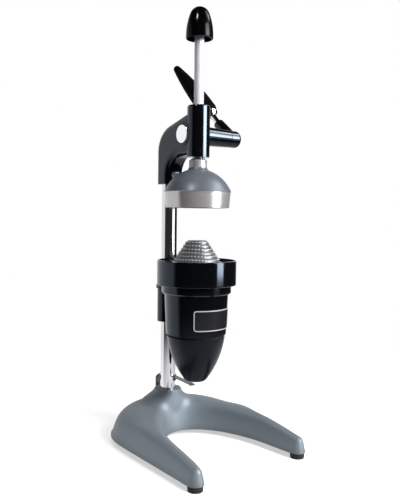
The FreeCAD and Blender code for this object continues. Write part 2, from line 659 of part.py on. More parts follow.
def make_strainer():
    """Make the reamer cone: a ridged shell on a flange with drain slots."""
    wall, flange = "strainer_wall", "strainer_seat + strainer_wall"
    run, rise = "(cone_base_radius - cone_top_radius)", f"(cone_top - ({flange}))"
    ridges = int(SIZES["ridge_count"])
    outside = []
    for ridge in range(ridges):
        share, mid = f"{ridge} / ridge_count", f"({ridge} + 0.55) / ridge_count"
        outside.append((f"cone_base_radius - {run} * {share}", f"{flange} + {rise} * {share}"))
        outside.append((f"cone_base_radius - {run} * {mid} + ridge_depth", f"{flange} + {rise} * {mid}"))
    body = turned("strainer_cone", [
        ("cone_base_radius - 2 * strainer_wall", "strainer_seat"), ("strainer_radius", "strainer_seat"),
        ("strainer_radius", flange), *outside,
        ("cone_top_radius", f"cone_top - {wall}"), (f"cone_top_radius - {wall}", "cone_top", wall),
        ("0", "cone_top"), ("0", f"cone_top - {wall}"),
        (f"cone_top_radius - 2 * {wall}", f"cone_top - {wall}"),
    ])
    slot = new_sketch(body, "XY_Plane", "strainer_seat")
    near = "(cone_base_radius + strainer_radius - ledge_width - drain_length) / 2"
    draw_outline(slot, [("-drain_width / 2", near), ("drain_width / 2", near),
                        ("drain_width / 2", f"{near} + drain_length"),
                        ("-drain_width / 2", f"{near} + drain_length")])
    cut = add_feature(body, "Pocket", slot, Length="2 * strainer_wall", Reversed=True)
    pattern = body.newObject("PartDesign::PolarPattern", "drain_pattern")
    pattern.Originals = [cut]
    pattern.Axis = (slot, ["N_Axis"])
    bind(pattern, Occurrences="drain_slots")
    body.Tip = pattern
    return body


def cone_at(height):
    """Return the housing's outer radius at a height above its lower edge."""
    slope = "(housing_top_radius - housing_bottom_radius) / housing_height"
    return f"(housing_bottom_radius + {slope} * ({height}))"


def plate_outline(inset, thickness, back="plate_gap"):
    """Outline a strip of the housing's outer face, drawn at the front."""
    low, high = f"plate_bottom + {inset}", f"plate_bottom + plate_height - ({inset})"
    corners = [(low, back), (low, thickness), (high, thickness), (high, back)]
    return [(f"-({cone_at(height)} + {depth})", f"housing_bottom + {height}") for height, depth in corners]


def make_plate():
    """Make the bare plate and its bright frame."""
    front = dict(plane="YZ_Plane", Midplane=True)
    frame_turn = "2 * frame_width / housing_bottom_radius * 180 / pi"
    frame = new_body("plate_frame")
    spin(frame, plate_outline("0", "frame_thickness"), Angle=f"plate_angle + {frame_turn}", **front)
    spin(frame, plate_outline("frame_width", "2 * frame_thickness", "-frame_thickness"), "Groove",
         Angle="plate_angle", **front)
    plate = new_body("name_plate")
    spin(plate, plate_outline("frame_width + hole_clearance", "plate_thickness"),
         Angle="plate_angle - plate_play", **front)
    return [frame, plate]


# Ram, dome and cap


def make_ram():
    """Make the ram: a round bar with a toothed flat on its back."""
    ram = new_body("ram_rack")
    screw_bore = "dome_screw_radius + seat_fit"
    spin(ram, [
        (screw_bore, "socket_bottom"), ("ram_radius", "socket_bottom"), ("ram_radius", "ram_top"),
        ("0", "ram_top"), ("0", "socket_bottom + dome_screw_length"),
        (screw_bore, "socket_bottom + dome_screw_length"),
    ])
    first = "pinion_height - 5 * tooth_pitch"
    low, high = f"{first} - tooth_pitch / 2", f"{first} + (rack_teeth - 0.5) * tooth_pitch"
    flat = new_sketch(ram, "YZ_Plane")
    draw_outline(flat, [("rack_flat", low), ("2 * ram_radius", low),
                        ("2 * ram_radius", high), ("rack_flat", high)])
    add_feature(ram, "Pocket", flat, Length="3 * ram_radius", Midplane=True)
    root, slope = "1.25 * gear_module", "tan(20 deg)"
    gap_tip = f"(tooth_pitch / 4 + gear_module * {slope})"
    gap_root = f"(tooth_pitch / 4 - {root} * {slope})"
    gap = new_sketch(ram, "YZ_Plane")
    draw_outline(gap, [
        (f"rack_pitch_y - {root}", f"{first} - {gap_root}"), ("rack_flat", f"{first} - {gap_tip}"),
        ("rack_flat + gear_module", f"{first} - {gap_tip}"),
        ("rack_flat + gear_module", f"{first} + {gap_tip}"),
        ("rack_flat", f"{first} + {gap_tip}"), (f"rack_pitch_y - {root}", f"{first} + {gap_root}"),
    ])
    cut = add_feature(ram, "Pocket", gap, Length="3 * ram_radius", Midplane=True)
    pattern = ram.newObject("PartDesign::LinearPattern", "rack_pattern")
    pattern.Originals = [cut]
    pattern.Direction = (gap, ["V_Axis"])
    pattern.Mode = "Spacing"
    bind(pattern, Offset="tooth_pitch", Occurrences="rack_teeth")
    ram.Tip = pattern
    return ram


def make_cap():
    crown_edge = ("cap_crown_edge", "cap_top - cap_crown_drop")
    bore = "ram_radius + seat_fit"
    return turned("ram_cap", [
        ("cap_mouth", "cap_bottom"), ("cap_radius - cap_edge_round", "cap_bottom"),
        ("cap_radius", "cap_bottom + cap_edge_round", "cap_edge_round"),
        ("cap_radius", "cap_bottom + cap_belly"), (*crown_edge, "cap_side_round"),
        ("0", "cap_top", ball("cap_crown_edge", "cap_crown_drop")), ("0", "ram_top"), (bore, "ram_top"),
        (bore, "cap_bottom + cap_recess"), ("cap_mouth", "cap_bottom + cap_recess"),
    ])


def make_dome():
    """Make the pressing bell, the collar above it, and what holds them to the ram."""
    band_top = "dome_bottom + band_drop"
    bore, hole = "ram_radius + seat_fit", "dome_screw_radius + hole_clearance"
    inner_rim = "dome_rim_radius - dome_wall"
    dome = turned("pressing_dome", [
        (inner_rim, "dome_bottom"), ("dome_rim_radius", "dome_bottom"), ("dome_radius", band_top),
        ("dome_radius + bead", f"{band_top} + bead"), ("dome_radius", f"{band_top} + 3 * bead"),
        ("dome_shoulder_radius", "dome_top - dome_neck_drop", "dome_round"),
        ("dome_neck_radius", "dome_top", "-dome_neck_round"), (bore, "dome_top"), (bore, "socket_bottom"),
        (hole, "socket_bottom"), (hole, "cavity_top"), ("dome_shoulder_radius - dome_wall", "cavity_top"),
        ("dome_radius - dome_wall", band_top, "-(dome_round - dome_wall)"),
    ])
    edge = "1.5"
    collar = turned("dome_collar", [
        (bore, "dome_top"), ("dome_collar_radius", "dome_top"),
        ("dome_collar_radius", f"collar_top - {edge}"), (f"dome_collar_radius - {edge}", "collar_top", edge),
        (bore, "collar_top"),
    ])
    round_pocket(collar, "XZ_Plane", "collar_screw_diameter / 2 + seat_fit", "2 * dome_collar_radius",
                 up="dome_top + dome_collar_height / 2")
    collar_screw = doc.addObject("Part::Cylinder", "collar_set_screw")
    collar_screw.Placement = FreeCAD.Placement(Vector(), Rotation(Vector(-1, 0, 0), 90))
    bind(collar_screw, Radius="collar_screw_diameter / 2",
         Height="dome_collar_radius - ram_radius - loose_fit")
    place(collar_screw, back="ram_radius", up="dome_top + dome_collar_height / 2")
    buffer = tube("ram_buffer", bore, "buffer_radius", "collar_top", "collar_top + buffer_thickness")
    washer_low = "cavity_top - dome_washer_thickness"
    washer = tube("dome_washer", hole, "dome_screw_head / 2 + 2", washer_low, "cavity_top")
    screw = turned("dome_screw", [
        ("0", f"{washer_low} - dome_screw_head_height"),
        ("dome_screw_head / 2 - 1", f"{washer_low} - dome_screw_head_height"),
        ("dome_screw_head / 2", f"{washer_low} - dome_screw_head_height / 2"),
        ("dome_screw_head / 2", washer_low), ("dome_screw_radius", washer_low),
        ("dome_screw_radius", "socket_bottom + dome_screw_length - loose_fit"),
        ("0", "socket_bottom + dome_screw_length - loose_fit"),
    ])
    return [dome, collar, collar_screw, buffer, washer, screw]


# Head casting and the pieces in it


def make_head():
    head = new_body("head_casting")
    back, front = "post_offset + head_back", "post_offset - head_back"
    side = new_sketch(head, "YZ_Plane")
    draw_outline(side, [
        ("0", "arch_top"), (f"{front} - arch_round", "arch_top"),
        (front, "arch_top - arch_round", "-arch_round"), (front, "head_sleeve_bottom"),
        (back, "head_sleeve_bottom"), (back, "crown_low"), ("crown_end_y", "crown_end_z", "crown_round"),
        ("0", "crown_end_z + crown_end_y * tan(arm_slope * 1 deg)"),
    ])
    slab = add_feature(head, "Pad", side, Length="head_thickness", Midplane=True)
    doc.recompute()
    round_edges(head, slab, "head_round", is_long_edge)
    round_pad(head, "XY_Plane", "tube_radius", "tube_height", "tube_bottom")
    doc.recompute()
    round_edges(head, head.Tip, "tube_round", is_tube_mouth)
    axis = dict(across="pinion_y", up="pinion_height")
    round_pad(head, "YZ_Plane", "pinion_housing_radius", "housing_reach", **axis,
              TaperAngle="-pinion_housing_taper")
    round_pad(head, "YZ_Plane", "pinion_bore + pinion_boss_wall", "-boss_face", **axis, Reversed=True)
    round_pocket(head, "XY_Plane", "post_bore", "post_grip", "head_sleeve_bottom", up="post_offset",
                 Reversed=True)
    round_pocket(head, "XY_Plane", "bush_radius", "tube_height - lip_height", "tube_bottom", Reversed=True)
    round_pocket(head, "XY_Plane", "ram_radius + loose_fit", "2 * tube_height", "tube_bottom", Reversed=True)
    round_pocket(head, "YZ_Plane", "pinion_bore", "cavity_depth - boss_face", "cavity_depth", **axis)
    round_pocket(head, "YZ_Plane", "shaft_radius + loose_fit", "2 * housing_reach", **axis, Reversed=True)
    round_pocket(head, "YZ_Plane", "shaft_radius + pinion_bush_wall", "2 * pinion_bush_length",
                 "housing_reach - pinion_bush_length", **axis, Reversed=True)
    for height in HEAD_SCREWS:
        round_pocket(head, "XZ_Plane", "set_screw_diameter / 2 + seat_fit", "2 * head_back", "-post_offset",
                     up=height)
    return head


def is_long_edge(edge):
    """Tell whether an edge of the slab runs along one of its sides, clear of its ends."""
    middle = edge.CenterOfMass
    return edge.BoundBox.XLength < 0.01 and middle.y > 0.01 and middle.z > value("head_sleeve_bottom") + 0.01


def is_tube_mouth(edge):
    """Tell whether an edge is the rim of the tube's upper end."""
    if edge.Curve.TypeId != "Part::GeomCircle":
        return False
    return edge.Curve.Radius > value("tube_radius") - 0.01 and edge.CenterOfMass.z > value("tube_top") - 0.01


def round_edges(body, base, radius, wanted):
    """Fillet the edges of a body's last feature that pass a test."""
    names = [f"Edge{index}" for index, edge in enumerate(base.Shape.Edges, start=1) if wanted(edge)]
    fillet = body.newObject("PartDesign::Fillet", f"{body.Name}_fillet")
    fillet.Base = (base, names)
    bind(fillet, Radius=radius)
    body.Tip = fillet
    return fillet


def make_bushes():
    inner, outer = "ram_radius + running_fit", "bush_radius - seat_fit"
    upper_top = "tube_top - lip_height"
    upper = tube("ram_bush_upper", inner, outer, f"{upper_top} - bush_length", upper_top)
    lower = tube("ram_bush_lower", inner, outer, "tube_bottom", "tube_bottom + bush_length")
    pinion = on_shaft(tube("pinion_bush", "shaft_radius + running_fit",
                           "shaft_radius + pinion_bush_wall - seat_fit",
                           "housing_reach - pinion_bush_length", "housing_reach"))
    return [upper, lower, pinion]


def make_pinion():
    """Make the pinion's shaft, gear, key, end cap and the ring that holds the cap."""
    journal = "cap_back - journal_length"
    shaft = on_shaft(turned("pinion_shaft", [
        ("0", journal), ("journal_radius", journal), ("journal_radius", "cap_back"),
        ("shaft_radius", "cap_back"), ("shaft_radius", "shaft_end"), ("0", "shaft_end"),
    ]))
    cap = on_shaft(turned("pinion_cap", [
        ("0", "cap_face"), ("cap_lip_radius - 1", "cap_face"), ("cap_lip_radius", "cap_face + 1", "1"),
        ("cap_lip_radius", "boss_face + snap_ring"), ("pinion_bore - seat_fit", "boss_face + snap_ring"),
        ("pinion_bore - seat_fit", "cap_back"), ("journal_radius + running_fit", "cap_back"),
        ("journal_radius + running_fit", f"{journal} - running_fit"), ("0", f"{journal} - running_fit"),
    ]))
    ring = on_shaft(tube("pinion_cap_ring", "cap_lip_radius + seat_fit", "pinion_bore - seat_fit",
                         "boss_face", "boss_face + snap_ring"))
    washer = on_shaft(tube("thrust_washer", "shaft_radius + hole_clearance", "hub_radius - 2",
                           "housing_reach", "hub_start"))
    key_slot(shaft, "seat_fit")
    key = new_body("pinion_key")
    draw_key(new_sketch(key, "XY_Plane", "-pinion_width / 2"), "0")
    add_feature(key, "Pad", key.Group[0], Length="pinion_width")
    return [shaft, make_gear(), on_shaft(key), cap, ring, washer]


def draw_key(sketch, gap):
    low, high = f"shaft_radius - key_height / 2 - {gap}", f"shaft_radius + key_height / 2 + {gap}"
    half = f"key_width / 2 + {gap}"
    draw_outline(sketch, [(f"-({half})", low), (half, low), (half, high), (f"-({half})", high)])


def key_slot(body, gap):
    """Cut the key's slot into the shaft or the gear."""
    sketch = new_sketch(body, "XY_Plane", "-pinion_width / 2")
    draw_key(sketch, gap)
    add_feature(body, "Pocket", sketch, Length="pinion_width", Reversed=True)


def make_gear():
    gear = new_body("pinion_gear")
    blank = new_sketch(gear, "XY_Plane", "-pinion_width / 2")
    draw_circle(blank, "pinion_outer")
    draw_circle(blank, "shaft_radius + seat_fit")
    add_feature(gear, "Pad", blank, Length="pinion_width")
    root, half_turn = "(pitch_radius - 1.25 * gear_module)", "(180 deg / pinion_teeth)"
    narrow, wide = "(tooth_pitch / 4 - tooth_backlash / 2)", "(tooth_pitch / 4 + tooth_backlash)"
    gap = new_sketch(gear, "XY_Plane", "-pinion_width / 2")
    along, aside = f"cos({half_turn})", f"sin({half_turn})"
    corners = []
    for reach, half in ((root, f"-{narrow}"), ("(pinion_outer + 1)", f"-{wide} - gear_module / 2"),
                        ("(pinion_outer + 1)", f"{wide} + gear_module / 2"), (root, narrow)):
        corners.append((f"{reach} * {aside} + ({half}) * {along}",
                        f"-({reach} * {along} - ({half}) * {aside})"))
    draw_outline(gap, corners)
    cut = add_feature(gear, "Pocket", gap, Length="2 * pinion_width", Reversed=True)
    pattern = gear.newObject("PartDesign::PolarPattern", "tooth_pattern")
    pattern.Originals = [cut]
    pattern.Axis = (gap, ["N_Axis"])
    bind(pattern, Occurrences="pinion_teeth")
    gear.Tip = pattern
    key_slot(gear, "seat_fit")
    return on_shaft(gear)


# Lever


def make_hub():
    """Make the hub with its slanted boss for the rod, and the screw that locks it to the shaft."""
    bore = "shaft_radius + seat_fit"
    barrel = on_shaft(turned("hub_barrel", [
        ("0", "hub_start"), ("hub_radius", "hub_start"),
        ("hub_radius", "hub_start + hub_length - hub_round"),
        ("hub_radius - hub_round", "hub_start + hub_length", "hub_round"), ("0", "hub_start + hub_length"),
    ]))
    boss = new_body("hub_boss")
    root = new_sketch(boss, "XY_Plane", "lever_boss_start")
    draw_circle(root, "lever_boss_base", "lever_offset")
    tip = new_sketch(boss, "XY_Plane", "lever_boss_end")
    draw_circle(tip, "lever_boss_tip")
    add_feature(boss, "AdditiveLoft", root, Sections=[tip])
    round_pocket(boss, "XY_Plane", "rod_radius + seat_fit", "rod_grip", "lever_boss_end")
    back_turn, hole = "lever_angle + 90", "set_screw_diameter / 2 + seat_fit"
    screw_hole = on_lever(turned("hub_screw_hole", [
        ("0", "shaft_radius"), (hole, "shaft_radius"), (hole, "2 * hub_radius"), ("0", "2 * hub_radius"),
    ]), back_turn)
    bore_hole = on_shaft(turned("hub_bore", [
        ("0", "housing_reach"), (bore, "housing_reach"), (bore, "shaft_end"), ("0", "shaft_end"),
    ]))
    blank = combine("hub_blank", "Fuse", barrel, on_lever(boss))
    hub = combine("lever_hub", "Cut", combine("hub_bored", "Cut", blank, bore_hole), screw_hole)
    screw = on_lever(turned("hub_set_screw", [
        ("0", "shaft_radius + seat_fit"), ("set_screw_diameter / 2", "shaft_radius + seat_fit"),
        ("set_screw_diameter / 2", "hub_radius - loose_fit"), ("0", "hub_radius - loose_fit"),
    ]), back_turn)
    return [hub, screw]


def make_lever():
    bore = "rod_radius + seat_fit"
    rod_end = "handle_start + rod_in_handle"
    rod = on_lever(turned("lever_rod", [
        ("0", "lever_boss_end - rod_grip"), ("rod_radius", "lever_boss_end - rod_grip"),
        ("rod_radius", rod_end), ("0", rod_end),
    ]))
    groove = "(ferrule_start + ferrule_length * 0.65)"
    ferrule = on_lever(turned("lever_ferrule", [
        (bore, "ferrule_start"), ("ferrule_base_radius", "ferrule_start"),
        ("ferrule_top_radius", "ferrule_start + ferrule_length / 2"), ("ferrule_top_radius", groove),
        ("ferrule_top_radius - ferrule_groove", groove),
        ("ferrule_top_radius - ferrule_groove", f"{groove} + ferrule_groove"),
        ("ferrule_top_radius", f"{groove} + ferrule_groove"),
        ("ferrule_top_radius", "handle_start"), (bore, "handle_start"),
    ]))
    top = "handle_start + handle_length"
    grip = on_lever(turned("lever_grip", [
        (bore, "handle_start"), ("handle_neck_radius", "handle_start"),
        ("handle_radius - 0.3", "handle_start + handle_shoulder", "handle_radius"),
        ("handle_radius", "handle_start + handle_belly"),
        ("handle_tip_radius", f"{top} - handle_tip_height", "handle_taper_round"),
        ("0", top, ball("handle_tip_radius", "handle_tip_height")), ("0", rod_end), (bore, rod_end),
    ]))
    return [rod, ferrule, grip]


# Drip stop


def strip(corners, thickness, left, right):
    """Bend a flat strip along corners of (back, up) in the middle plane."""
    low = [Vector(left, back, up) for back, up in corners]
    high = [point + Vector(0, 0, thickness) for point in low[::-1]]
    return Part.Face(Part.makePolygon(low + high + low[:1])).extrude(Vector(right - left, 0, 0))


def make_drip_stop():
    """Make the spring clip round the post, its tongue under the outlet and its thumb tail."""
    post_y, inner, outer = value("post_offset"), value("clip_inner"), value("clip_outer")
    low, height, width = value("clip_bottom"), value("clip_height"), value("tongue_width")
    thick = value("clip_thickness")
    ring = Part.makeCylinder(outer, height, Vector(0, 0, low), Vector(0, 0, 1), value("clip_wrap"))
    ring = ring.cut(upright(inner, low - 1, low + height + 1))
    ring.rotate(Vector(), Vector(0, 0, 1), -value("clip_start"))
    ring.translate(Vector(0, post_y, 0))
    top, end = low + height - thick, value("tongue_end_y")
    bend, tip = end + value("tongue_tip_length"), top - value("tongue_drop")
    near = post_y - value("post_radius + seat_fit")
    tongue = strip([(near, top), (bend, top), (end, tip)], thick, 0, width)
    tongue.rotate(Vector(width / 2, near, 0), Vector(0, 0, 1), -value("tongue_turn"))
    tongue = tongue.cut(upright(inner, low, low + height, 0, post_y))
    rear, fall = post_y + inner, value("tail_length")
    tail = strip([(rear, top), (rear + fall / 2, top - thick), (rear + fall, top - fall / 2)],
                 thick, -width / 2, width / 2)
    thumb_low = value("boss_top - tail_dip")
    thumb = Part.makeBox(width, thick, top - fall / 2 + thick - thumb_low, Vector(
        -width / 2, rear + fall - thick, thumb_low))
    return fixed("drip_stop", ring.fuse([tongue, tail, thumb]).removeSplitter())


def write_parts(pieces):
    doc.recompute()
    for item in doc.Objects:
        if {"Invalid", "Error"} & set(item.State):
            raise RuntimeError(f"{item.Label}: {item.State}")
    os.makedirs("parts", exist_ok=True)
    for piece in pieces:
        shape = piece.Shape
        if shape.isNull() or not shape.isValid():
            raise RuntimeError(f"{piece.Label}: not a valid solid")
        shape.exportStep(f"parts/{piece.Label}.step")
        print(f"{piece.Label}: {len(shape.Solids)} solids, {shape.Volume / 1000:.2f} cm3")


pieces = [
    make_base(), *make_feet(), *make_post(), *make_nose(), make_bracket(),
    set_screws("bracket_set_screws", "sleeve_radius", BRACKET_SCREWS), make_bowl(), make_strainer(),
    *make_plate(), make_ram(), make_cap(), *make_dome(), make_head(),
    set_screws("head_set_screws", "head_back", HEAD_SCREWS), *make_bushes(), *make_pinion(),
    *make_hub(), *make_lever(), make_drip_stop(),
]
write_parts(pieces)
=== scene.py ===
"""Looks of a hand citrus press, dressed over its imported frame."""

import logging
import math
from dataclasses import dataclass, field
from enum import Enum

import bmesh
import bpy
from mathutils import Matrix, Vector

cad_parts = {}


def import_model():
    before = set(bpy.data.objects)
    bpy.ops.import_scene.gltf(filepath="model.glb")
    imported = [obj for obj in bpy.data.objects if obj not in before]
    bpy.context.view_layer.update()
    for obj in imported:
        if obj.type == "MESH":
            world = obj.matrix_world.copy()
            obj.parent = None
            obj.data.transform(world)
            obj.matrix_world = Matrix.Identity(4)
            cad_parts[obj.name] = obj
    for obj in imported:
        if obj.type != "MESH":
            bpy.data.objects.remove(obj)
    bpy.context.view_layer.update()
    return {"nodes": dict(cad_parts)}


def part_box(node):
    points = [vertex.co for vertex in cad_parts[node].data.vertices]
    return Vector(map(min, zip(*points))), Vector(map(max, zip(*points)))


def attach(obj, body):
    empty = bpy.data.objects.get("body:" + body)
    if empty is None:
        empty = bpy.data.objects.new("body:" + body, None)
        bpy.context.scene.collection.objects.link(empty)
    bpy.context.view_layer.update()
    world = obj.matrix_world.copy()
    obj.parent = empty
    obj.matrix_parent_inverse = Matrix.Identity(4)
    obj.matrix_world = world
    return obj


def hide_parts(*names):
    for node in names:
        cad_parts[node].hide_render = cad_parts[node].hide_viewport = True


FRAME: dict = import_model()
LOG = logging.getLogger("citrus_press")
MM = 0.001
TO_BACK = Vector((0.0, 1.0, 0.0))
PLAIN_DETAIL = 1.0
CLOUD_DETAIL = 3.0
SCUFF_DETAIL = 6.0
SCUFF_EDGE = (0.72, 0.80)
WAVE_PHASE = 20.0
RING_WOBBLE = 0.6
MIX_COLOURS = (6, 7)
MIX_RESULT = 2
RANGE_INPUTS = ("From Min", "From Max", "To Min", "To Max")

Colour = tuple[float, float, float]
Point = tuple[float, float, float]
Pair = tuple[float, float]
Socket = bpy.types.NodeSocket
Material = bpy.types.Material
Shape = bmesh.types.BMesh
Edges = list[bmesh.types.BMEdge]


class Body(Enum):
    """The rigid bodies that the pieces made here ride on."""

    STAND = "stand"
    RAM = "ram"
    LEVER = "lever"


class Grain(Enum):
    """How the fine marks of a finish run."""

    EVEN = (1.0, 1.0, 1.0)
    TURNED = (0.02, 0.02, 1.0)
    DRAWN = (1.0, 1.0, 0.02)


def soft_range(tree: bpy.types.NodeTree, value: Socket, source: Pair, result: Pair) -> Socket:
    """Map a value softly from one range to another.

    Args:
        tree: The node tree.
        value: The value to map.
        source: The range mapped from.
        result: The range mapped to.

    Returns:
        The mapped value, held inside the new range.
    """
    ranger = tree.nodes.new("ShaderNodeMapRange")
    ranger.interpolation_type = "SMOOTHSTEP"
    tree.links.new(value, ranger.inputs["Value"])
    for name, number in zip(RANGE_INPUTS, (*source, *result)):
        ranger.inputs[name].default_value = number
    return ranger.outputs["Result"]


class Nodes:
    """A short hand for wiring one material's node tree."""

    def __init__(self, name: str) -> None:
        """Start an empty material.

        Args:
            name: The material's name.
        """
        self.material = bpy.data.materials.new(name)
        self.material.use_nodes = True
        self.tree = self.material.node_tree
        self.shader = self.tree.nodes["Principled BSDF"]
        self.place = self.add("ShaderNodeTexCoord").outputs["Object"]

    def add(self, kind: str, **settings: object) -> bpy.types.Node:
        """Add one node.

        Args:
            kind: The node's type.
            settings: Attributes to set on it.

        Returns:
            The new node.
        """
        node = self.tree.nodes.new(kind)
        for name, setting in settings.items():
            setattr(node, name, setting)
        return node

    def feed(self, source: object, target: Socket) -> None:
        """Join an output to an input, or set the input to a constant.

        Args:
            source: The output, or the constant.
            target: The input.
        """
        if isinstance(source, Socket):
            self.tree.links.new(source, target)
        else:
            target.default_value = source

    def set(self, **values: object) -> None:
        """Feed inputs of the surface shader, with underscores for spaces in their names."""
        for name, value in values.items():
            self.feed(value, self.shader.inputs[name.replace("_", " ")])

    def noise(self, scale: float, detail: float = 2.0, stretch: Grain = Grain.EVEN) -> Socket:
        """Add noise over the piece's own coordinates.

        Args:
            scale: Marks per metre.
            detail: Octaves of detail.
            stretch: The way the marks run.

        Returns:
            The noise value, from 0 to 1.
        """
        mapping = self.add("ShaderNodeMapping")
        self.feed(self.place, mapping.inputs["Vector"])
        mapping.inputs["Scale"].default_value = stretch.value
        noise = self.add("ShaderNodeTexNoise")
        self.feed(mapping.outputs["Vector"], noise.inputs["Vector"])
        noise.inputs["Scale"].default_value = scale
        noise.inputs["Detail"].default_value = detail
        return noise.outputs["Fac"]

    def cloud(self, scale: float) -> Socket:
        """Return soft clouds, at a number per metre."""
        return self.noise(scale, CLOUD_DETAIL)

    def span(self, value: Socket, low: float, high: float, source: Pair = (0.0, 1.0)) -> Socket:
        """Map a value from one range to another.

        Args:
            value: The value to map.
            low: What the source's low end becomes.
            high: What the source's high end becomes.
            source: The range mapped from.

        Returns:
            The mapped value, held inside the new range.
        """
        return soft_range(self.tree, value, source, (low, high))

    def blend(self, amount: Socket, first: Colour | Socket, second: Colour | Socket) -> Socket:
        """Blend two colours by an amount.

        Args:
            amount: How much of the second colour.
            first: The colour at 0.
            second: The colour at 1.

        Returns:
            The blended colour.
        """
        mix = self.add("ShaderNodeMix", data_type="RGBA")
        self.feed(amount, mix.inputs["Factor"])
        for colour, index in zip((first, second), MIX_COLOURS):
            source = (*colour, 1.0) if isinstance(colour, tuple) else colour
            self.feed(source, mix.inputs[index])
        return mix.outputs[MIX_RESULT]

    def worn(self, scale: float, share: float) -> Socket:
        """Return scattered scuffs.

        Args:
            scale: Scuffs per metre.
            share: How much of the surface they reach, from 0 to 1.

        Returns:
            0 on sound surface, 1 on a scuff.
        """
        edge = (SCUFF_EDGE[0] - share, SCUFF_EDGE[1] - share)
        return self.span(self.noise(scale, SCUFF_DETAIL), 0.0, 1.0, edge)

    def rings(self, centre: Point, pitch: float) -> Socket:
        """Return lathe marks on a face that looks along X.

        Args:
            centre: A point on the axis, in metres.
            pitch: The marks' spacing in metres.

        Returns:
            The marks, from 0 to 1.
        """
        mapping = self.add("ShaderNodeMapping")
        self.feed(self.place, mapping.inputs["Vector"])
        mapping.inputs["Location"].default_value = [-number for number in centre]
        wave = self.add("ShaderNodeTexWave", wave_type="RINGS", rings_direction="X")
        self.feed(mapping.outputs["Vector"], wave.inputs["Vector"])
        wave.inputs["Scale"].default_value = 2.0 * math.pi / (WAVE_PHASE * pitch)
        wave.inputs["Distortion"].default_value = RING_WOBBLE
        return wave.outputs["Fac"]

    def height(self) -> Socket:
        """Read the height above the table.

        Returns:
            The height in metres.
        """
        split = self.add("ShaderNodeSeparateXYZ")
        self.feed(self.place, split.inputs["Vector"])
        return split.outputs["Z"]

    def bump(self, value: Socket, depth: float, strength: float) -> None:
        """Raise the surface by a value.

        Args:
            value: The height pattern.
            depth: The height in metres that 1 stands for.
            strength: How much of the effect is kept.
        """
        bump = self.add("ShaderNodeBump")
        self.feed(value, bump.inputs["Height"])
        bump.inputs["Distance"].default_value = depth
        bump.inputs["Strength"].default_value = strength
        self.feed(bump.outputs["Normal"], self.shader.inputs["Normal"])


@dataclass(frozen=True)
class Enamel:
    """Glossy black stove enamel over a casting."""

    name: str
    dark: Colour = (0.0008, 0.0009, 0.0012)
    light: Colour = (0.0015, 0.0017, 0.0022)
    scuff: Colour = (0.005, 0.0054, 0.006)
    sheen: Colour = (0.62, 0.79, 1.0)
    roughness: Pair = (0.08, 0.13)
    level: float = 0.46
    clouds: float = 14.0
    scuffs: float = 160.0
    scuffed: float = 0.06
    skin: float = 420.0
    peel: float = 0.00003
    peel_strength: float = 0.3

    def make(self) -> Material:
        """Wire the finish.

        Returns:
            Its material.
        """
        nodes = Nodes(self.name)
        cloud = nodes.cloud(self.clouds)
        coat = nodes.blend(cloud, self.dark, self.light)
        nodes.set(
            Base_Color=nodes.blend(nodes.worn(self.scuffs, self.scuffed), coat, self.scuff),
            Roughness=nodes.span(cloud, *self.roughness), Specular_IOR_Level=self.level,
            Specular_Tint=(*self.sheen, 1.0),
        )
        nodes.bump(nodes.noise(self.skin, PLAIN_DETAIL), self.peel, self.peel_strength)
        return nodes.material


@dataclass(frozen=True)
class FlakePaint:
    """Metallic paint with fine flakes and an orange-peel skin."""

    name: str
    dark: Colour = (0.160, 0.190, 0.217)
    light: Colour = (0.220, 0.255, 0.286)
    # Over the lowest 8 to 22 mm above the table the paint is blended towards a darker, greyer
    # colour.
    floor_band_colour: Colour = (0.125, 0.138, 0.148)
    floor_band_fade: Pair = (0.008, 0.022)
    floor_band_share: float = 0.6
    metallic: float = 0.65
    roughness: Pair = (0.52, 0.58)
    level: float = 0.3
    flakes: float = 2600.0
    clouds: float = 16.0
    skin: float = 340.0
    peel: float = 0.00006
    peel_strength: float = 0.4

    def make(self) -> Material:
        """Wire the finish.

        Returns:
            Its material.
        """
        nodes = Nodes(self.name)
        flakes = nodes.noise(self.flakes, PLAIN_DETAIL)
        cloud = nodes.cloud(self.clouds)
        paint = nodes.blend(flakes, self.dark, self.light)
        # Darker and greyer towards the table.
        low = nodes.span(nodes.height(), self.floor_band_share, 0.0, self.floor_band_fade)
        nodes.set(
            Base_Color=nodes.blend(low, paint, self.floor_band_colour), Metallic=self.metallic,
            Roughness=nodes.span(cloud, *self.roughness), Specular_IOR_Level=self.level,
        )
        nodes.bump(nodes.noise(self.skin), self.peel, self.peel_strength)
        return nodes.material


@dataclass(frozen=True)
class BrightMetal:
    """Plated or worked metal with fine marks in one direction."""

    name: str
    dark: Colour
    light: Colour
    roughness: Pair
    grain: Grain = Grain.EVEN
    marks: float = 900.0
    depth: float = 0.00001
    mark_strength: float = 0.5
    clouds: float = 22.0
    metallic: float = 1.0

    def make(self) -> Material:
        """Wire the finish.

        Returns:
            Its material.
        """
        nodes = Nodes(self.name)
        marks = nodes.noise(self.marks, CLOUD_DETAIL, self.grain)
        cloud = nodes.cloud(self.clouds)
        nodes.set(
            Base_Color=nodes.blend(cloud, self.dark, self.light), Metallic=self.metallic,
            Roughness=nodes.span(marks, *self.roughness),
        )
        nodes.bump(marks, self.depth, self.mark_strength)
        return nodes.material


@dataclass(frozen=True)
class LatheMetal:
    """A turned face with fine rings about an axis along X."""

    name: str
    centre: Point
    dark: Colour
    light: Colour
    roughness: Pair
    pitch: float = 0.0006
    clouds: float = 60.0
    depth: float = 0.00001
    ring_strength: float = 0.3

    def make(self) -> Material:
        """Wire the finish.

        Returns:
            Its material.
        """
        nodes = Nodes(self.name)
        rings = nodes.rings(self.centre, self.pitch)
        nodes.set(
            Base_Color=nodes.blend(nodes.cloud(self.clouds), self.dark, self.light),
            Metallic=1.0, Roughness=nodes.span(rings, *self.roughness),
        )
        nodes.bump(rings, self.depth, self.ring_strength)
        return nodes.material


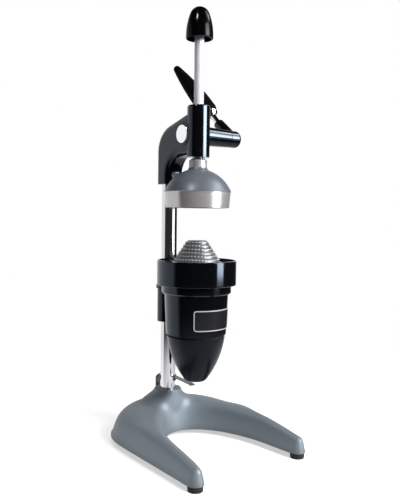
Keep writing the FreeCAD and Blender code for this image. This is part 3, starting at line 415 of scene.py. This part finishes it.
@dataclass(frozen=True)
class BellMetal:
    """Cast bell, satin above its bead and polished on the band below it."""

    name: str
    band_top: float
    satin: Colour = (0.074, 0.084, 0.099)
    bright: Colour = (0.52, 0.505, 0.515)
    satin_roughness: float = 0.34
    bright_roughness: float = 0.20
    satin_metallic: float = 0.35
    bright_metallic: float = 0.75
    edge: float = 0.0004
    rings: float = 1500.0
    ring_roughness: float = 0.06
    depth: float = 0.00001
    ring_strength: float = 0.3

    def make(self) -> Material:
        """Wire the finish.

        Returns:
            Its material.
        """
        nodes = Nodes(self.name)
        source = (self.band_top - self.edge, self.band_top + self.edge)
        above = nodes.span(nodes.height(), 0.0, 1.0, source)
        rings = nodes.noise(self.rings, stretch=Grain.TURNED)
        rough = nodes.add("ShaderNodeMath", operation="ADD")
        smooth = nodes.span(above, self.bright_roughness, self.satin_roughness)
        nodes.feed(smooth, rough.inputs[0])
        nodes.feed(nodes.span(rings, 0.0, self.ring_roughness), rough.inputs[1])
        nodes.set(Base_Color=nodes.blend(above, self.bright, self.satin),
                  Metallic=nodes.span(above, self.bright_metallic, self.satin_metallic),
                  Roughness=rough.outputs["Value"])
        nodes.bump(rings, self.depth, self.ring_strength)
        return nodes.material


@dataclass(frozen=True)
class Moulding:
    """Moulded plastic or rubber with a fine skin."""

    name: str
    dark: Colour
    light: Colour
    roughness: Pair
    skin: float = 1600.0
    depth: float = 0.00004
    skin_strength: float = 0.5
    clouds: float = 30.0
    level: float = 0.4

    def make(self) -> Material:
        """Wire the finish.

        Returns:
            Its material.
        """
        nodes = Nodes(self.name)
        skin = nodes.noise(self.skin)
        cloud = nodes.cloud(self.clouds)
        nodes.set(Base_Color=nodes.blend(cloud, self.dark, self.light),
                  Roughness=nodes.span(cloud, *self.roughness), Specular_IOR_Level=self.level)
        nodes.bump(skin, self.depth, self.skin_strength)
        return nodes.material


Recipe = Enamel | FlakePaint | BrightMetal | LatheMetal | BellMetal | Moulding


class Finish(Enum):
    """The finishes of the press, by what they cover."""

    BASE = FlakePaint("blue_grey_paint")
    CASTING = Enamel("black_enamel")
    NOSE = Enamel("satin_black_nose", roughness=(0.20, 0.28), level=0.25)
    POST = BrightMetal("chromed_tube", (0.66, 0.65, 0.67), (0.74, 0.73, 0.75), (0.06, 0.11),
                       Grain.DRAWN)
    RAM = BrightMetal("ground_bar", (0.44, 0.435, 0.47), (0.49, 0.485, 0.52), (0.36, 0.46),
                      Grain.DRAWN, metallic=0.3)
    COLLAR = BrightMetal("satin_collar", (0.25, 0.25, 0.27), (0.31, 0.31, 0.33), (0.30, 0.40),
                         Grain.TURNED, metallic=0.5)
    BELL = BellMetal("bell_metal", 0.4195)
    # The strainer's cone steel is painted dark as the shade between its pips, and the pips take a
    # much lighter copy of the same steel as a painted highlight.
    CONE = BrightMetal("cone_steel_painted_shade", (0.075, 0.077, 0.081), (0.110, 0.113, 0.119), (0.34, 0.46),
                       metallic=0.6)
    PIPS = BrightMetal("pip_steel_painted_highlight", (0.45, 0.455, 0.47), (0.56, 0.565, 0.58), (0.26, 0.38),
                       metallic=0.5)
    STEEL = BrightMetal("plain_steel", (0.42, 0.42, 0.43), (0.52, 0.52, 0.53), (0.25, 0.38))
    # The drip stop's steel is painted dark as shade, because the blade hangs in shadow.
    BLADE = BrightMetal("spring_steel_painted_shade", (0.10, 0.10, 0.105), (0.15, 0.15, 0.155), (0.28, 0.38),
                        metallic=0.7)
    DISC = LatheMetal("turned_cap", (0.0, 0.0195, 0.514), (0.86, 0.86, 0.87), (0.92, 0.92, 0.93),
                      (0.14, 0.24))
    BRONZE = BrightMetal("bush_bronze", (0.45, 0.29, 0.12), (0.55, 0.37, 0.17), (0.3, 0.45))
    RIM = BrightMetal("silver_rim", (0.33, 0.345, 0.375), (0.41, 0.425, 0.455), (0.26, 0.36),
                      metallic=0.3)
    GRIP = Moulding("grip_plastic", (0.0006, 0.0006, 0.0008), (0.0012, 0.0012, 0.0014),
                    (0.60, 0.72), level=0.02)
    CAP = Moulding("cap_plastic", (0.0005, 0.0005, 0.0007), (0.0010, 0.0010, 0.0012),
                   (0.10, 0.14), depth=0.00001, level=0.06)
    RUBBER = Moulding("foot_rubber", (0.010, 0.010, 0.010), (0.018, 0.018, 0.018), (0.65, 0.8),
                      level=0.3)
    PLATE = Moulding("bare_plate", (0.005, 0.005, 0.006), (0.008, 0.008, 0.010), (0.16, 0.24))

    def __init__(self, recipe: Recipe) -> None:
        """Keep the recipe, and make its material when it is first asked for."""
        self.recipe = recipe

    @property
    def material(self) -> Material:
        """The material, made once."""
        found = bpy.data.materials.get(self.recipe.name)
        return found or self.recipe.make()


class Workshop:
    """Turns bmesh shapes into pieces of the press."""

    @staticmethod
    def dress(finishes: dict[str, Finish]) -> None:
        """Give nodes of the frame their finishes.

        Args:
            finishes: The finish of each node, by the node's name.
        """
        for node, finish in finishes.items():
            piece = FRAME["nodes"][node]
            piece.data.materials.clear()
            piece.data.materials.append(finish.material)
            LOG.info("node %s: %s", node, finish.name.lower())

    @staticmethod
    def keep(name: str, mesh: Shape, body: Body, finish: Finish, slot: str,
             smooth: float = 35.0) -> bpy.types.Object:
        """Make an object from a shape, and set it on its body.

        Args:
            name: The piece's name.
            mesh: The shape, in place, in metres.
            body: The body that it rides on.
            finish: Its finish.
            slot: Not used.
            smooth: The angle in degrees under which faces are shaded smooth.

        Returns:
            The new object.
        """
        data = bpy.data.meshes.new(name)
        mesh.to_mesh(data)
        mesh.free()
        data.materials.append(finish.material)
        data.shade_smooth()
        data.set_sharp_from_angle(angle=math.radians(smooth))
        piece = bpy.data.objects.new(name, data)
        bpy.context.scene.collection.objects.link(piece)
        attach(piece, body.value)
        LOG.info("piece %s on %s: %d faces", name, body.value, len(data.polygons))
        return piece


@dataclass(frozen=True)
class SocketScrew:
    """A headless socket screw, in millimetres; the socket's size is a share of its radius."""

    radius: float
    length: float
    chamfer: float = 0.5
    depth: float = 2.6
    sides: int = 24
    socket: float = 0.58
    socket_sides: int = 6
    smooth: float = 30.0

    def add_to(self, mesh: Shape, end: Vector, along: Vector) -> None:
        """Add the screw to a shape.

        Args:
            mesh: The shape, in metres.
            end: The middle of the screw's outer end.
            along: The direction that its outer end looks in.
        """
        place = Matrix.Translation(end) @ along.to_track_quat("Z", "Y").to_matrix().to_4x4()
        place = place @ Matrix.Scale(MM, 4)
        edge = self.radius - self.chamfer
        flats = self.circle(mesh, place, self.radius * self.socket, self.socket_sides)
        rim = self.circle(mesh, place, edge, self.sides)
        bmesh.ops.bridge_loops(mesh, edges=flats + rim)
        inwards = place.to_3x3() @ Vector((0.0, 0.0, -1.0))
        self.draw(mesh, flats, inwards * self.depth, 1.0, True)
        flared = self.draw(mesh, rim, inwards * self.chamfer, self.radius / edge)
        self.draw(mesh, flared, inwards * (self.length - self.chamfer), 1.0, True)

    @staticmethod
    def circle(mesh: Shape, place: Matrix, radius: float, sides: int) -> Edges:
        """Add a ring of edges to a shape.

        Args:
            mesh: The shape.
            place: Where the ring's middle goes, and which way it looks.
            radius: Its radius in millimetres.
            sides: How many edges it has.

        Returns:
            Its edges.
        """
        verts = bmesh.ops.create_circle(mesh, radius=radius, segments=sides, matrix=place)["verts"]
        return list({edge for vert in verts for edge in vert.link_edges})

    @staticmethod
    def draw(mesh: Shape, edges: Edges, move: Vector, grow: float, close: bool = False) -> Edges:
        """Draw a ring of edges out into a wall.

        Args:
            mesh: The shape.
            edges: The ring.
            move: How far its copy moves.
            grow: How much its copy grows about its middle.
            close: Whether the copy is closed with a face.

        Returns:
            The edges of the copy.
        """
        drawn = bmesh.ops.extrude_edge_only(mesh, edges=edges)["geom"]
        verts = [item for item in drawn if isinstance(item, bmesh.types.BMVert)]
        ring = set(verts)
        copies = [item for item in drawn
                  if isinstance(item, bmesh.types.BMEdge) and set(item.verts) <= ring]
        middle = sum((vert.co for vert in verts), Vector()) / len(verts)
        about = Matrix.Translation(-middle)
        bmesh.ops.scale(mesh, vec=(grow, grow, grow), space=about, verts=verts)
        bmesh.ops.translate(mesh, vec=move, verts=verts)
        if close:
            bmesh.ops.contextual_create(mesh, geom=copies)
        return copies

    def replace(self, node: str, body: Body, along: Vector, ends: list[Vector]) -> None:
        """Stand for a node of plain screws with socket screws.

        Args:
            node: The node's name.
            body: The body that it is on.
            along: The direction that the outer ends look in.
            ends: The middle of each outer end.
        """
        mesh = bmesh.new()
        for end in ends:
            self.add_to(mesh, end, along)
        bmesh.ops.recalc_face_normals(mesh, faces=mesh.faces[:])
        piece = Workshop.keep(f"socket_{node}", mesh, body, Finish.STEEL, "steel", self.smooth)
        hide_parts(node)


@dataclass
class Stand:
    """Base, feet, post and the screws of the sleeves on the post, with sizes in millimetres."""

    screw_radius: float = 3.0
    finishes: dict[str, Finish] = field(default_factory=lambda: {
        "base_casting": Finish.BASE, "post_tube": Finish.POST, "post_plug": Finish.STEEL,
        "post_washer": Finish.STEEL, "post_bolt": Finish.STEEL, "foot_screws": Finish.STEEL,
        "foot_front_left": Finish.RUBBER, "foot_front_right": Finish.RUBBER,
        "foot_rear_left": Finish.RUBBER, "foot_rear_right": Finish.RUBBER,
    })

    def build(self) -> None:
        """Dress the stand and make its screws."""
        Workshop.dress(self.finishes)
        for node in ("bracket_set_screws", "head_set_screws"):
            self.make_screws(node)

    def make_screws(self, node: str) -> None:
        """Make the two screws of a sleeve, which look to the back.

        Args:
            node: The node of the plain screws.
        """
        low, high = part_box(node)
        radius = self.screw_radius * MM
        heights = (low[2] + radius, high[2] - radius)
        ends = [Vector((0.0, high[1], height)) for height in heights]
        screw = SocketScrew(self.screw_radius, (high[1] - low[1]) / MM)
        screw.replace(node, Body.STAND, TO_BACK, ends)


@dataclass
class Cup:
    """Bracket, bowl, strainer, nose and the bare name plate, with sizes in millimetres.

    The ends of the cone and of the housing's wall are each a radius and a height.
    """

    cone_rows: int = 7
    cone_foot: Pair = (41.0, 302.0)
    cone_head: Pair = (16.0, 341.0)
    ridge: float = 1.1
    ridge_place: float = 0.55
    pip: Point = (0.9, 1.7, 0.95)
    pip_pitch: float = 5.4
    pip_sink: float = 0.2
    pip_faces: tuple[int, int] = (6, 4)
    pip_smooth: float = 60.0
    wall_low: Pair = (49.6, 189.0)
    wall_high: Pair = (52.4, 255.0)
    label_size: Pair = (73.6, 33.0)
    label_corner: float = 4.5
    label_rim: float = 1.5
    label_lift: float = 0.05
    rim_height: float = 1.4
    plate_height: float = 0.9
    plate_gap: float = 0.1
    bends: int = 36
    corner_steps: int = 8
    finishes: dict[str, Finish] = field(default_factory=lambda: {
        "cup_bracket": Finish.CASTING, "juice_bowl": Finish.CASTING, "strainer_cone": Finish.CONE,
        "nose_spout": Finish.NOSE, "nose_gasket": Finish.RUBBER,
    })

    def build(self) -> None:
        """Dress the cup, and make the strainer's pips and the label."""
        Workshop.dress(self.finishes)
        self.make_pips()
        self.make_label()

    def make_pips(self) -> None:
        """Stud the strainer's ridges with rows of long pips."""
        mesh = bmesh.new()
        for row in range(self.cone_rows):
            share = (row + self.ridge_place) / self.cone_rows
            radius, height = (low + (high - low) * share
                              for low, high in zip(self.cone_foot, self.cone_head))
            radius += self.ridge
            count = round(2.0 * math.pi * radius / self.pip_pitch)
            for index in range(count):
                turn = Matrix.Rotation(2.0 * math.pi * (index + row % 2 / 2) / count, 4, "Z")
                seat = Matrix.Translation((radius - self.pip_sink, 0.0, height))
                place = Matrix.Scale(MM, 4) @ turn @ seat @ Matrix.Diagonal((*self.pip, 1.0))
                bmesh.ops.create_uvsphere(mesh, u_segments=self.pip_faces[0],
                                          v_segments=self.pip_faces[1], radius=1.0, matrix=place)
        # The pips' lighter steel is a painted highlight on the cone's own steel.
        Workshop.keep("strainer_pips", mesh, Body.STAND, Finish.PIPS, "cone_steel", self.pip_smooth)

    def make_label(self) -> None:
        """Make the round-cornered rim and the bare plate inside it."""
        width, height = self.label_size
        rim = self.rounded(width, height, self.label_corner)
        bmesh.ops.inset_region(rim, faces=rim.faces[:], thickness=self.label_rim,
                               use_boundary=True, use_even_offset=True)
        middle = max(rim.faces, key=lambda face: face.calc_area())
        bmesh.ops.delete(rim, geom=[middle], context="FACES")
        self.wrap(rim, self.rim_height)
        piece = Workshop.keep("label_rim", rim, Body.STAND, Finish.RIM, "plate_silver")
        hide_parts("plate_frame")
        inset = 2.0 * (self.label_rim + self.plate_gap)
        plate = self.rounded(width - inset, height - inset, self.label_corner - self.label_rim)
        self.wrap(plate, self.plate_height)
        piece = Workshop.keep("label_plate", plate, Body.STAND, Finish.PLATE, "plate_black")
        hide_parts("name_plate")

    def rounded(self, width: float, height: float, corner: float) -> Shape:
        """Return a flat plate with round corners.

        Args:
            width: Its width along X in millimetres.
            height: Its height along Y.
            corner: The radius of its corners.

        Returns:
            The new shape, about the origin.
        """
        mesh = bmesh.new()
        bmesh.ops.create_grid(mesh, x_segments=1, y_segments=1, size=0.5)
        bmesh.ops.scale(mesh, vec=(width, height, 1.0), verts=mesh.verts[:])
        bmesh.ops.bevel(mesh, geom=mesh.verts[:], offset=corner, offset_type="OFFSET",
                        segments=self.corner_steps, profile=0.5, affect="VERTICES", material=-1)
        return mesh

    def wrap(self, mesh: Shape, thickness: float) -> None:
        """Give a flat plate its thickness and lay it round the front of the housing.

        Args:
            mesh: The plate, drawn flat in millimetres; it is left in place in metres.
            thickness: Its thickness in millimetres.
        """
        low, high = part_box("plate_frame")
        middle = (low[2] + high[2]) / 2 / MM
        width = self.label_size[0]
        for step in range(1, self.bends):
            cut = (step / self.bends - 0.5) * width
            bmesh.ops.bisect_plane(mesh, geom=mesh.verts[:] + mesh.edges[:] + mesh.faces[:],
                                   plane_co=(cut, 0.0, 0.0), plane_no=(1.0, 0.0, 0.0))
        walls = bmesh.ops.extrude_face_region(mesh, geom=mesh.faces[:])["geom"]
        top = [item for item in walls if isinstance(item, bmesh.types.BMVert)]
        bmesh.ops.translate(mesh, vec=(0.0, 0.0, thickness), verts=top)
        (foot_radius, foot), (head_radius, head) = self.wall_low, self.wall_high
        slope = (head_radius - foot_radius) / (head - foot)
        mean = foot_radius + slope * (middle - foot)
        for vert in mesh.verts:
            across, up, proud = vert.co
            radius = foot_radius + slope * (middle + up - foot) + self.label_lift + proud
            turn = across / mean
            vert.co = Vector((radius * math.sin(turn), -radius * math.cos(turn), middle + up)) * MM
        bmesh.ops.recalc_face_normals(mesh, faces=mesh.faces[:])


@dataclass
class Head:
    """Head casting, bushes, and the cap over the pinion."""

    finishes: dict[str, Finish] = field(default_factory=lambda: {
        "head_casting": Finish.CASTING, "ram_bush_upper": Finish.BRONZE,
        "ram_bush_lower": Finish.BRONZE, "pinion_bush": Finish.BRONZE,
        "pinion_cap": Finish.DISC, "pinion_cap_ring": Finish.RUBBER,
    })

    def build(self) -> None:
        """Dress the head."""
        Workshop.dress(self.finishes)


@dataclass
class Ram:
    """Rack, cap, dome and collar, with sizes in millimetres."""

    screw_radius: float = 2.5
    finishes: dict[str, Finish] = field(default_factory=lambda: {
        "ram_rack": Finish.RAM, "ram_cap": Finish.CAP, "pressing_dome": Finish.BELL,
        "dome_collar": Finish.COLLAR, "ram_buffer": Finish.RUBBER,
        "dome_washer": Finish.STEEL, "dome_screw": Finish.STEEL,
    })

    def build(self) -> None:
        """Dress the ram and make the collar's screw."""
        Workshop.dress(self.finishes)
        low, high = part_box("collar_set_screw")
        end = Vector((0.0, high[1], (low[2] + high[2]) / 2))
        screw = SocketScrew(self.screw_radius, (high[1] - low[1]) / MM)
        screw.replace("collar_set_screw", Body.RAM, TO_BACK, [end])


@dataclass
class Lever:
    """Pinion shaft, hub, rod and grip, with sizes in millimetres and degrees."""

    screw_radius: float = 3.0
    screw_length: float = 7.16
    lever_angle: float = 47.5
    finishes: dict[str, Finish] = field(default_factory=lambda: {
        "pinion_shaft": Finish.STEEL, "pinion_gear": Finish.STEEL, "pinion_key": Finish.STEEL,
        "thrust_washer": Finish.STEEL, "lever_hub": Finish.CASTING,
        "lever_rod": Finish.POST, "lever_ferrule": Finish.POST, "lever_grip": Finish.GRIP,
    })

    def build(self) -> None:
        """Dress the lever and make the hub's screw."""
        Workshop.dress(self.finishes)
        turn = math.radians(self.lever_angle + 90.0)
        along = Vector((0.0, math.sin(turn), math.cos(turn)))
        low, high = (Vector(corner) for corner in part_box("hub_set_screw"))
        end = (low + high) / 2 + along * (self.screw_length / 2 * MM)
        screw = SocketScrew(self.screw_radius, self.screw_length)
        screw.replace("hub_set_screw", Body.LEVER, along, [end])


@dataclass
class DripStop:
    """The swinging stop under the outlet."""

    # The blade's dark steel is painted shade.
    finishes: dict[str, Finish] = field(default_factory=lambda: {"drip_stop": Finish.BLADE})

    def build(self) -> None:
        """Dress the drip stop."""
        Workshop.dress(self.finishes)


@dataclass(frozen=True)
class Lamp:
    """One soft area lamp, aimed at the press."""

    name: str
    place: Point
    target: Point
    size: Pair
    watts: float
    on_diffuse: bool = True
    on_gloss: bool = True
    spread: float = 180.0

    def hang(self) -> None:
        """Put the lamp in the scene."""
        data = bpy.data.lights.new(self.name, "AREA")
        data.shape = "RECTANGLE"
        data.size, data.size_y = self.size
        data.energy = self.watts
        data.spread = math.radians(self.spread)
        lamp = bpy.data.objects.new(self.name, data)
        bpy.context.scene.collection.objects.link(lamp)
        place = Vector(self.place)
        lamp.location = place
        lamp.rotation_euler = (Vector(self.target) - place).to_track_quat("-Z", "Y").to_euler()
        lamp.visible_diffuse = self.on_diffuse
        lamp.visible_glossy = self.on_gloss
        lamp.visible_camera = False


@dataclass
class Studio:
    """Camera, lamps, floor and surroundings, with places in metres and angles in degrees."""

    eye: Point = (-0.6062, -0.7953, 0.380)
    middle: Point = (0.0, 0.02, 0.36)
    yaw: float = 37.6
    pitch: float = 3.13
    roll: float = 0.73
    focal_pixels: float = 612.0
    image_height: float = 500.0
    sensor: float = 36.0
    sight: float = 50.0
    floor_radius: float = 1.1
    floor_sides: int = 96
    floor_grey: float = 0.95
    floor_roughness: float = 0.9
    floor_fade: Pair = (0.25, 1.0)
    floor_clear: float = 0.55
    sweep_angle: float = 135.0
    sweep_edge: Pair = (0.25, 0.5)
    sweep_level: Pair = (0.03, 1.0)
    rise_edge: Pair = (0.30, 0.62)
    rise_level: Pair = (1.0, 0.12)
    fill_edge: Pair = (0.1, 0.9)
    fill_level: Pair = (0.05, 0.45)

    def around(self, angle: float, distance: float, height: float) -> Point:
        """Return a place by its angle from the camera's side of the press.

        Args:
            angle: Degrees to the camera's left; negative is to its right.
            distance: Metres from the pressing axis.
            height: Metres above the table.

        Returns:
            The place in the shared frame.
        """
        turn = math.radians(-90.0 - self.yaw - angle)
        return (distance * math.cos(turn), distance * math.sin(turn), height)

    def place_camera(self) -> None:
        """Set the camera where the photograph was taken."""
        data = bpy.data.cameras.new("camera")
        data.sensor_width = self.sensor
        data.lens = self.focal_pixels / self.image_height * self.sensor
        data.clip_end = self.sight
        camera = bpy.data.objects.new("camera", data)
        bpy.context.scene.collection.objects.link(camera)
        turn = Matrix.Rotation(math.radians(-self.yaw), 4, "Z")
        tilt = Matrix.Rotation(math.radians(90.0 - self.pitch), 4, "X")
        lean = Matrix.Rotation(math.radians(self.roll), 4, "Z")
        camera.matrix_world = Matrix.Translation(self.eye) @ turn @ tilt @ lean
        bpy.context.scene.camera = camera

    def hang_lamps(self) -> None:
        """Hang the soft boxes."""
        gloss_only = {"on_diffuse": False}
        diffuse_only = {"on_gloss": False}
        for lamp in (
            Lamp("high_panel", self.around(-70.0, 1.4, 1.05), (0.0, 0.0, 0.75), (1.0, 0.9),
                 watts=11.5, spread=60.0, **gloss_only),
            Lamp("side_panel", self.around(-102.0, 1.4, 1.35), self.middle, (0.8, 0.6),
                 watts=0.8, **gloss_only),
            Lamp("base_panel", self.around(-100.0, 1.15, 1.25), (0.0, 0.03, 0.05), (1.1, 1.1),
                 watts=1.1, spread=36.0, **gloss_only),
            Lamp("mid_panel", self.around(-70.0, 1.4, 0.44), self.middle, (1.0, 0.32),
                 watts=2.0, **gloss_only),
            Lamp("low_panel", self.around(-70.0, 1.4, 0.215), self.middle, (0.5, 0.13),
                 watts=3.4, **gloss_only),
            Lamp("left_spot", (-0.81, -0.35, 1.65), (0.0, 0.0, 0.70), (0.2, 0.2),
                 watts=0.4, spread=24.0, **gloss_only),
            Lamp("right_spot", (1.006, -0.323, 1.457), (0.0, 0.0, 0.66), (0.2, 0.2),
                 watts=0.06, spread=26.0, **gloss_only),
            Lamp("front_key", self.around(-50.0, 1.9, 1.35), self.middle, (1.0, 1.0),
                 watts=125.0, **diffuse_only),
            Lamp("top_panel", (0.0, 0.1, 2.0), self.middle, (1.4, 1.4),
                 watts=22.0, **diffuse_only),
        ):
            lamp.hang()

    def surround(self) -> None:
        """Make a white sweep behind and to the left, and a dim room on the camera's side."""
        world = bpy.data.worlds.new("studio")
        bpy.context.scene.world = world
        world.use_nodes = True
        tree = world.node_tree
        background = tree.nodes["Background"]
        rays = tree.nodes.new("ShaderNodeLightPath")
        aim = tree.nodes.new("ShaderNodeTexCoord")
        side = tree.nodes.new("ShaderNodeVectorMath")
        side.operation = "DOT_PRODUCT"
        tree.links.new(aim.outputs["Generated"], side.inputs[0])
        side.inputs[1].default_value = self.around(self.sweep_angle, 1.0, 0.0)
        split = tree.nodes.new("ShaderNodeSeparateXYZ")
        tree.links.new(aim.outputs["Generated"], split.inputs["Vector"])
        sweep = soft_range(tree, side.outputs["Value"], self.sweep_edge, self.sweep_level)
        level = soft_range(tree, split.outputs["Z"], self.rise_edge, self.rise_level)
        fill = soft_range(tree, split.outputs["Z"], self.fill_edge, self.fill_level)
        both = tree.nodes.new("ShaderNodeMath")
        both.operation = "MULTIPLY"
        tree.links.new(sweep, both.inputs[0])
        tree.links.new(level, both.inputs[1])
        seen = tree.nodes.new("ShaderNodeMath")
        seen.operation = "MAXIMUM"
        tree.links.new(rays.outputs["Is Camera Ray"], seen.inputs[0])
        tree.links.new(rays.outputs["Is Transmission Ray"], seen.inputs[1])
        gloss = tree.nodes.new("ShaderNodeMix")
        tree.links.new(rays.outputs["Is Glossy Ray"], gloss.inputs["Factor"])
        tree.links.new(fill, gloss.inputs["A"])
        tree.links.new(both.outputs["Value"], gloss.inputs["B"])
        white = tree.nodes.new("ShaderNodeMix")
        tree.links.new(seen.outputs["Value"], white.inputs["Factor"])
        tree.links.new(gloss.outputs["Result"], white.inputs["A"])
        white.inputs["B"].default_value = 1.0
        tree.links.new(white.outputs["Result"], background.inputs["Strength"])
        background.inputs["Color"].default_value = (1.0, 1.0, 1.0, 1.0)

    def lay_floor(self) -> None:
        """Lay a pale floor that fades into the white surroundings."""
        mesh = bmesh.new()
        bmesh.ops.create_circle(mesh, cap_ends=True, radius=self.floor_radius,
                                segments=self.floor_sides)
        data = bpy.data.meshes.new("floor")
        mesh.to_mesh(data)
        mesh.free()
        floor = bpy.data.objects.new("floor", data)
        bpy.context.scene.collection.objects.link(floor)
        nodes = Nodes("pale_floor")
        length = nodes.add("ShaderNodeVectorMath", operation="LENGTH")
        nodes.feed(nodes.place, length.inputs[0])
        fade = nodes.span(length.outputs["Value"], self.floor_clear, 1.0, self.floor_fade)
        nodes.set(Base_Color=(*[self.floor_grey] * 3, 1.0), Roughness=self.floor_roughness,
                  Specular_IOR_Level=0.0)
        clear = nodes.add("ShaderNodeBsdfTransparent")
        mix = nodes.add("ShaderNodeMixShader")
        nodes.feed(fade, mix.inputs["Fac"])
        nodes.feed(nodes.shader.outputs["BSDF"], mix.inputs[1])
        nodes.feed(clear.outputs["BSDF"], mix.inputs[2])
        output = nodes.tree.nodes["Material Output"]
        nodes.feed(mix.outputs["Shader"], output.inputs["Surface"])
        data.materials.append(nodes.material)

    def build(self) -> None:
        """Set up the whole studio."""
        self.place_camera()
        self.hang_lamps()
        self.surround()
        self.lay_floor()
        bpy.context.scene.view_settings.view_transform = "Standard"


def main() -> None:
    """Build the press in order, then the studio round it."""
    logging.basicConfig(level=logging.INFO, format="%(name)s: %(message)s")
    for assembly in (Stand(), Cup(), Head(), Ram(), Lever(), DripStop()):
        assembly.build()
        LOG.info("dressed %s", type(assembly).__name__)
    Studio().build()


if __name__ == "__main__":
    main()
